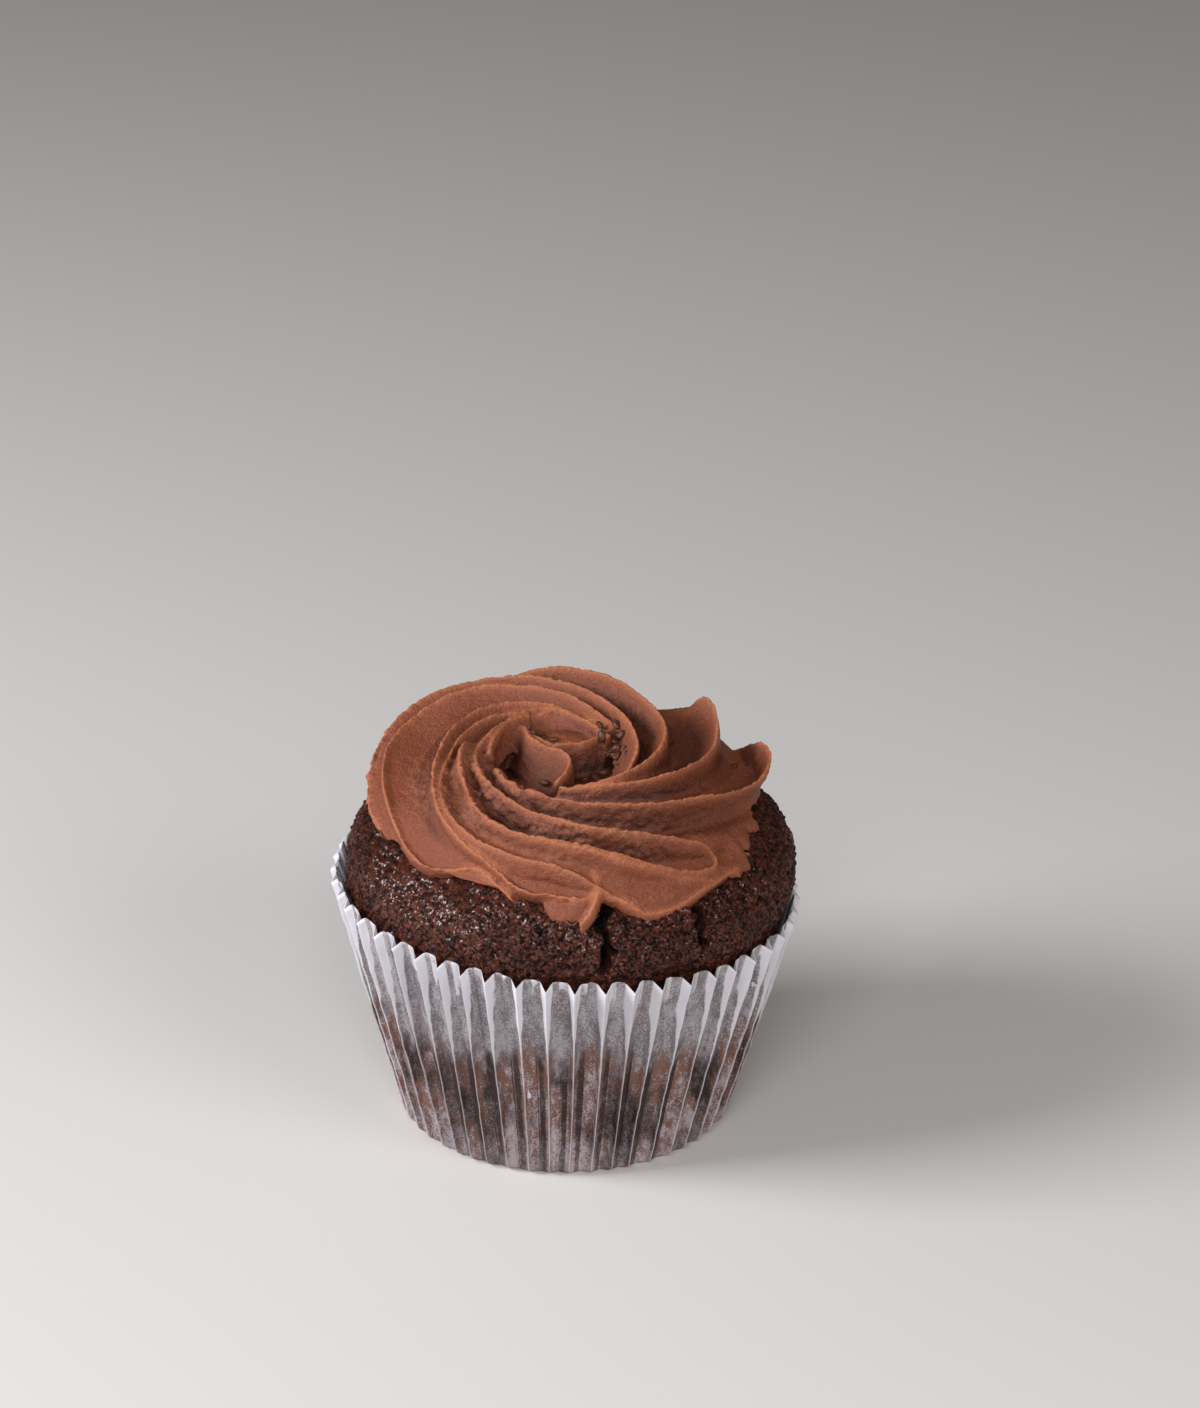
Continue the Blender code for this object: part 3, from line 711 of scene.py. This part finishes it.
def addSmear(shells):
    turns, reach = np.array(smear["edge"], float).T
    turn = np.linspace(turns[0], turns[-1], 240)
    edge = smoothCurve(turn, turns, reach) * mm
    flat = polarPoints(np.radians(turn), edge, 0.0 * edge)
    ragged = mixed(0.10, 0.45, ease((turn - smear["tornFrom"]) / 8.0))
    edge = edge + roughField(flat, 1.3 * mm, 3, 61) * ragged * mm
    rings = []
    for a, out, at in zip(np.radians(turn), edge, flat):
        thick = smear["thick"] * (1.0 + 0.25 * noise.noise(Vector(at) / (2.5 * mm)))
        inner = smear["inner"]
        across = np.array([inner, inner, out - 1.6 * mm, out - 0.6 * mm, out - 0.1 * mm, out, out - 0.5 * mm])
        lift = np.array([-1.0 * mm, thick, thick, 0.95 * thick, 0.6 * thick, 0.15 * thick, -1.0 * mm])
        ring = polarPoints(a, across, lift)
        ring[:, 2] += domeAt(ring[:, 0], ring[:, 1])
        rings.append(ring)
    shells.add(rings)


def melted(shells, voxel):  # one closed skin round all the shells
    mesh = bpy.data.meshes.new("shells")
    mesh.from_pydata(np.concatenate(shells.points).tolist(), [], shells.faces)
    rough = bpy.data.objects.new("shells", mesh)
    bpy.context.scene.collection.objects.link(rough)
    remesh = rough.modifiers.new("melt", "REMESH")
    remesh.mode, remesh.voxel_size, remesh.adaptivity = "VOXEL", voxel, 0.0
    soften = rough.modifiers.new("soften", "SMOOTH")
    soften.factor, soften.iterations = 0.5, 1
    result = bpy.data.meshes.new_from_object(rough.evaluated_get(bpy.context.evaluated_depsgraph_get()))
    bpy.data.objects.remove(rough)
    return result


def meshPoints(mesh, what="co"):
    flat = np.empty(len(mesh.vertices) * 3, np.float32)
    mesh.vertices.foreach_get(what, flat)
    return flat.reshape(-1, 3).astype(float)


def shelter(mesh, points, normals, far, rays):  # how closed in each point is: 0 in the open, 1 deep in a fold
    faces = np.empty(len(mesh.loops), np.int32)
    mesh.loops.foreach_get("vertex_index", faces)
    tree = BVHTree.FromPolygons(points.tolist(), faces.reshape(-1, 4).tolist())
    angle = np.arange(rays) * math.pi * (3.0 - math.sqrt(5.0))
    rise = 1.0 - 2.0 * (np.arange(rays) + 0.5) / rays
    level = np.sqrt(1.0 - rise ** 2)
    around = np.stack([level * np.cos(angle), level * np.sin(angle), rise], -1)
    closed = np.zeros(len(points))
    starts = points + normals * 0.15 * mm
    for way in around:
        ways = normals * 1.02 + way
        for number, (start, aim) in enumerate(zip(starts.tolist(), ways.tolist())):
            distance = tree.ray_cast(start, aim, far)[3]
            if distance is not None:
                closed[number] += 1.0 - 0.5 * distance / far
    return closed / rays


def buildRosette(material):
    r = rosette
    shells = Shells()
    rings, lines = rosetteBody()
    shells.add(rings)
    crests = []
    for number, (fin, (turn, reach, height)) in enumerate(zip(fins, lines)):
        line = polarPoints(np.radians(turn), reach, height)
        wave = roughField(line, 2.2 * mm, 2, 40 + number) * 0.16 * mm
        part = np.linspace(0.0, 1.0, len(line))
        lean, flare, swell = (sized(fin, name, part) * mm for name in ("lean", "flare", "swell"))
        shells.add(blade(line, blended(fin["deep"], part), fin["edge"] * mm, lean, flare, swell, wave))
        crests.append(line)
    for number, leaf in enumerate(leaves):
        line = leafLine(leaf["path"])
        wave = roughField(line, 1.6 * mm, 2, 80 + number) * 0.16 * mm
        deep, edge, outer, inner = (leaf[name] * mm for name in ("deep", "edge", "outer", "inner"))
        shells.add(blade(line, deep, edge, 0.0, outer, inner, wave))
        crests.append(line)
    addDab(shells)
    addSmear(shells)
    around = np.linspace(0.0, 2.0 * math.pi, 32, endpoint=False)
    (x, y), (wide, long) = r["moundPlace"], r["moundSize"]
    shells.add([np.stack([(x + wide * k * np.cos(around)) * mm, (y + long * k * np.sin(around)) * mm,
                          z * mm + 0.0 * around], -1) for k, z in r["mound"]])
    mesh = melted(shells, r["voxel"])
    points, normals = meshPoints(mesh), meshPoints(mesh, "normal")
    # distance to the nearest crest, and how far along it
    tree = KDTree(sum(len(line) for line in crests))
    along, tangents, count = [], [], 0
    for line in crests:
        tangent = np.gradient(line, axis=0)
        tangents.append(tangent / np.maximum(np.linalg.norm(tangent, axis=1, keepdims=True), 1e-9))
        length = np.concatenate([[0.0], np.cumsum(np.linalg.norm(np.diff(line, axis=0), axis=1))])
        for place in line:
            tree.insert(place, count)
            count += 1
        along.append(length)
    tree.balance()
    along, tangents, crestPoints = np.concatenate(along), np.concatenate(tangents), np.concatenate(crests)
    tops = crestPoints[:, 2]
    found = [tree.find(p) for p in points]
    near = np.array([f[1] for f in found])
    away = np.array([f[2] for f in found])
    # closeness to the nearest crest; the material paints it lighter, as painted light through the thin edge
    edgeMark = np.exp(-(away / r["edgeWidth"]) ** 2)
    # press the melted crests to a thin edge with small teeth
    teeth = (0.35 - np.abs(roughField(crestPoints, 1.5 * mm, 2, 51))) * r["serration"]
    teeth = teeth + roughField(crestPoints, 0.6 * mm, 1, 52) * 0.25 * r["serration"]
    pull = crestPoints[near] - points
    pull[:, 2] += r["crestLift"] + teeth[near]
    pull = pull - tangents[near] * (pull * tangents[near]).sum(1, keepdims=True)
    points = points + pull * (r["pinch"] * np.exp(-(away / r["pinchWidth"]) ** 2))[:, None]
    reach = np.hypot(points[:, 0], points[:, 1])
    # how far below its crest each point lies, for the painted shade in the valleys
    grooveShadeMark = np.clip((tops[near] - points[:, 2]) / (3.0 * mm), 0.0, 1.0)
    grooveShadeMark = grooveShadeMark * ease((29.0 * mm - reach) / (6.0 * mm))
    towards = np.degrees(np.arctan2(points[:, 1], points[:, 0])) % 360.0
    # torn by the spatula: the front left, the left rim and the folds at the front
    torn = np.exp(-((towards - 230.0) / 42.0) ** 2) * ease((26.0 * mm - reach) / (5.0 * mm))
    torn = torn * ease((reach - 8.0 * mm) / (3.0 * mm))
    rim = np.exp(-((towards - 182.0) / 34.0) ** 2) * ease((reach - 28.0 * mm) / (1.0 * mm))
    folds = np.exp(-((towards - 290.0) / 30.0) ** 2) * ease((27.5 * mm - reach) / (2.0 * mm))
    folds = folds * ease((reach - 17.0 * mm) / (3.0 * mm))
    patchy = ease(roughField(points, 3.5 * mm, 2, 24) + 0.75)
    torn = np.clip(torn * patchy + 0.8 * rim + 0.45 * folds * patchy, 0.0, 1.0)
    grain = roughField(points, 1.0 * mm, 3, 22)
    fine = roughField(points, 0.5 * mm, 2, 23)
    wave = roughField(points, 5.0 * mm, 2, 21)
    lump = roughField(points, 2.0 * mm, 2, 25)
    rough = torn * (1.0 - 0.75 * edgeMark) * (lump * 0.60 + grain * 0.45 + fine * 0.30) * mm
    relief = wave * 0.15 * mm + rough + (fine * 0.08 + grain * 0.07) * mm
    points = points + normals * relief[:, None]
    mesh.vertices.foreach_set("co", points.astype(np.float32).ravel())
    mesh.update()
    normals = meshPoints(mesh, "normal")
    # how closed in each point is, for the painted shade in the folds
    pocketShade = shelter(mesh, points, normals, r["shelterReach"], r["shelterRays"])
    deepest, typical = round(float(pocketShade.max()), 2), round(float(np.median(pocketShade)), 2)
    print("folds shaded, deepest", deepest, "typical", typical)
    marks = {"edge": edgeMark, "grooveShade": grooveShadeMark, "torn": torn, "pocketShade": pocketShade}
    for mark, values in marks.items():
        mesh.attributes.new(mark, "FLOAT", "POINT").data.foreach_set("value", values.astype(np.float32))
    flow = np.stack([away, along[near] * 0.12, 0.0 * away], -1)
    layer = mesh.attributes.new("flow", "FLOAT_VECTOR", "POINT")
    layer.data.foreach_set("vector", flow.astype(np.float32).ravel())
    mesh.polygons.foreach_set("use_smooth", [True] * len(mesh.polygons))
    mesh.materials.clear()
    mesh.materials.append(material)
    mesh.update()
    piece = bpy.data.objects.new("frostingRosette", mesh)
    bpy.context.scene.collection.objects.link(piece)
    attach(piece, "root")
    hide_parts("frosting")
    print("made frostingRosette", len(mesh.vertices), "points", len(mesh.polygons), "faces")
    return piece


frostingLook = {
    "butter": (0.285, 0.084, 0.042),
    "deep": (0.170, 0.040, 0.013),
    # the lighter crest edge: painted light
    "edge": (0.480, 0.160, 0.070),
    "pale": (0.360, 0.136, 0.085),
    # painted shade in the folds and valleys
    "valleyShade": (0.045, 0.008, 0.002),
}


def frostingMaterial():
    r = frostingLook
    g = Graph("chocolateButtercream")
    edge, grooveShade, torn, pocketShade = (g.attribute(name) for name in ("edge", "grooveShade", "torn", "pocketShade"))
    flow = g.add("ShaderNodeAttribute", {"attribute_name": "flow"}, {}, "Vector")
    wide = g.noise(6.0 * mm, 3.0, 0.5)
    grain = g.noise(0.75 * mm, 3.0, 0.65)
    fine = g.noise(0.34 * mm, 3.0, 0.7)
    drawn = g.noise(0.8 * mm, 2.0, 0.6, place=flow)
    colour = g.mix((wide * 0.6 + fine * 0.3 + drawn * 0.1).clamped(), r["deep"], r["butter"])
    colour = g.mix((torn * 0.60).clamped(), colour, r["pale"])
    # painted light: the crest edges are painted lighter and more orange, for light showing through the thin
    # edge
    colour = g.mix((edge * 0.85).clamped(), colour, r["edge"])
    # painted shade: where the fine bump noise is low, the colour is pulled darker
    colour = g.mix((0.49 - fine).between(0.0, 0.09) * 0.40, colour, r["deep"])
    # painted shade: folds and valleys are painted dark, by how closed in each point is and how far below its
    # crest it lies
    shade = pocketShade.between(0.12, 0.75) * (0.85 - torn * 0.55)
    shade = shade + grooveShade.between(0.15, 0.90) * (0.42 - torn * 0.36)
    colour = g.mix(shade.clamped(), colour, r["valleyShade"])
    bump = g.bump(fine * (torn * 0.5 + 0.9) + grain * 0.7 + drawn * 0.4, 0.34 * mm, 0.9)
    return g.finish(Base_Color=colour, Roughness=0.45 + torn * 0.08 - (grain - 0.5) * 0.3, Normal=bump,
                    Specular_IOR_Level=0.38, Subsurface_Weight=0.08,
                    Subsurface_Radius=(0.9 * mm, 0.35 * mm, 0.2 * mm), Subsurface_Scale=1.0)


# place across and back in mm, length in mm and turn in degrees, of the bigger nibs
nibs = {
    "places": ((5.6, 3.8, 2.0, 20), (6.9, 5.2, 1.9, 80), (7.6, 3.2, 1.9, 140), (6.0, 2.0, 2.2, 60),
               (4.4, 0.9, 1.8, 30), (6.8, 0.2, 2.0, 110), (4.0, -1.2, 1.7, 10), (5.6, -2.0, 1.6, 150),
               (7.8, 1.4, 1.8, 45), (5.0, 6.0, 1.7, 95), (7.4, 7.0, 1.9, 130), (8.4, 5.0, 1.7, 15),
               (3.0, 0.2, 1.4, 70), (-2.9, -2.6, 1.8, 100), (-4.6, 4.9, 1.6, 20), (-3.2, 5.6, 1.4, 70),
               (-1.6, 4.6, 1.5, 140), (-5.4, 6.2, 1.3, 55), (15.2, 7.6, 2.6, 25), (25.0, 5.2, 1.5, 70)),
    "dust": 34,                # small flakes round the main cluster
    "dustPlace": (6.2, 2.4),   # the middle of the flakes and how far they scatter, in mm
    "dustSpread": (1.5, 2.6),
    "chocolate": (0.045, 0.012, 0.005),
    "worn": (0.110, 0.034, 0.016),
}


def buildNibs(material, frosting):
    form = bmesh.new()
    bmesh.ops.create_icosphere(form, subdivisions=3, radius=0.5)
    form.verts.ensure_lookup_table()
    ball = np.array([v.co for v in form.verts])
    ballFaces = [[v.index for v in f.verts] for f in form.faces]
    form.free()
    random.seed(31)
    chosen = [tuple(n) for n in nibs["places"]]
    for _ in range(nibs["dust"]):
        x, y = (m + random.gauss(0.0, wide) for m, wide in zip(nibs["dustPlace"], nibs["dustSpread"]))
        chosen.append((x, y, random.uniform(0.5, 1.1), random.uniform(0.0, 180.0)))
    points, faces = [], []
    for number, (x, y, size, turn) in enumerate(chosen):
        hit, place, normal, _ = frosting.ray_cast((x * mm, y * mm, 0.1), (0.0, 0.0, -1.0))
        if not hit:            # past the frosting's edge
            continue
        lump = ball * np.array([1.0, random.uniform(0.55, 0.75), random.uniform(0.42, 0.6)])
        lump = lump * (1.0 + 0.22 * roughField(ball + number, 0.5, 2, number))[:, None] * size * mm
        turnUp = normal.to_track_quat("Z", "X").to_matrix() @ Matrix.Rotation(math.radians(turn), 3, "Z")
        lump = lump @ np.array(turnUp).T
        sunk = np.array(place) + np.array(normal) * size * mm * 0.14
        faces += [[v + len(points) * len(ball) for v in f] for f in ballFaces]
        points.append(lump + sunk)
    makePiece("chocolateNibs", np.concatenate(points), faces, material)


def nibMaterial():
    g = Graph("darkChocolate")
    fine = g.noise(0.30 * mm, 3.0, 0.65)
    patch = g.noise(0.9 * mm, 3.0, 0.6)
    colour = g.mix((patch * 0.8 + fine * 0.5 - 0.25).clamped(), nibs["chocolate"], nibs["worn"])
    bump = g.bump(fine, 0.08 * mm, 0.6)
    return g.finish(Base_Color=colour, Roughness=0.34 + patch * 0.2, Normal=bump, Specular_IOR_Level=0.4)


studio = {
    "cameraPlace": (5.15 * mm, -661.34 * mm, 374.17 * mm),
    "cameraPitch": 25.06,      # degrees below level
    "lens": 127.84,
    "floor": (0.62, 0.60, 0.585),
    # each light: place in metres, power in watts and colour
    "lights": {
        "windowLight": ((-0.62, -0.14, 0.42), 6.6, (0.97, 0.98, 1.0)),
        "frontLight": ((-0.05, -0.60, 0.50), 2.6, (0.98, 0.98, 1.0)),
        "sideFill": ((0.45, -0.45, 0.45), 2.0, (1.0, 0.98, 0.95)),
    },
    "lightSize": (0.34, 0.30),
    "air": (0.90, 0.88, 0.86, 1.0),
    "airStrength": 0.09,
}


def buildStage():
    bpy.ops.mesh.primitive_plane_add(size=4.0, location=(0, 0, -0.00005))
    floor = bpy.context.object
    floor.name = "floor"
    g = Graph("paleFloor")
    floor.data.materials.append(g.finish(Base_Color=studio["floor"], Roughness=0.6))
    camera = bpy.data.objects.new("camera", bpy.data.cameras.new("camera"))
    camera.data.sensor_width = 36.0
    camera.data.lens = studio["lens"]
    camera.data.clip_start = 0.01
    camera.location = studio["cameraPlace"]
    camera.rotation_euler = (math.radians(90.0 - studio["cameraPitch"]), 0.0, 0.0)
    bpy.context.scene.collection.objects.link(camera)
    bpy.context.scene.camera = camera


def addLight(name, place, aim, size, power, colour):
    light = bpy.data.lights.new(name, "AREA")
    light.shape = "RECTANGLE"
    light.size, light.size_y = size
    light.energy = power
    light.color = colour
    made = bpy.data.objects.new(name, light)
    made.location = place
    made.rotation_euler = (Vector(aim) - Vector(place)).to_track_quat("-Z", "Y").to_euler()
    bpy.context.scene.collection.objects.link(made)


def lightStage():
    middle = (0.0, 0.0, 0.04)
    for name, (place, power, colour) in studio["lights"].items():
        addLight(name, place, middle, studio["lightSize"], power, colour)
    world = bpy.data.worlds.new("studioAir")
    world.use_nodes = True
    background = world.node_tree.nodes["Background"].inputs
    background["Color"].default_value = studio["air"]
    background["Strength"].default_value = studio["airStrength"]
    bpy.context.scene.world = world
    bpy.context.scene.view_settings.view_transform = "Standard"


buildStage()
lightStage()
buildCase(paperMaterial())
buildSponge(spongeMaterial())
frosting = buildRosette(frostingMaterial())
buildNibs(nibMaterial(), frosting)
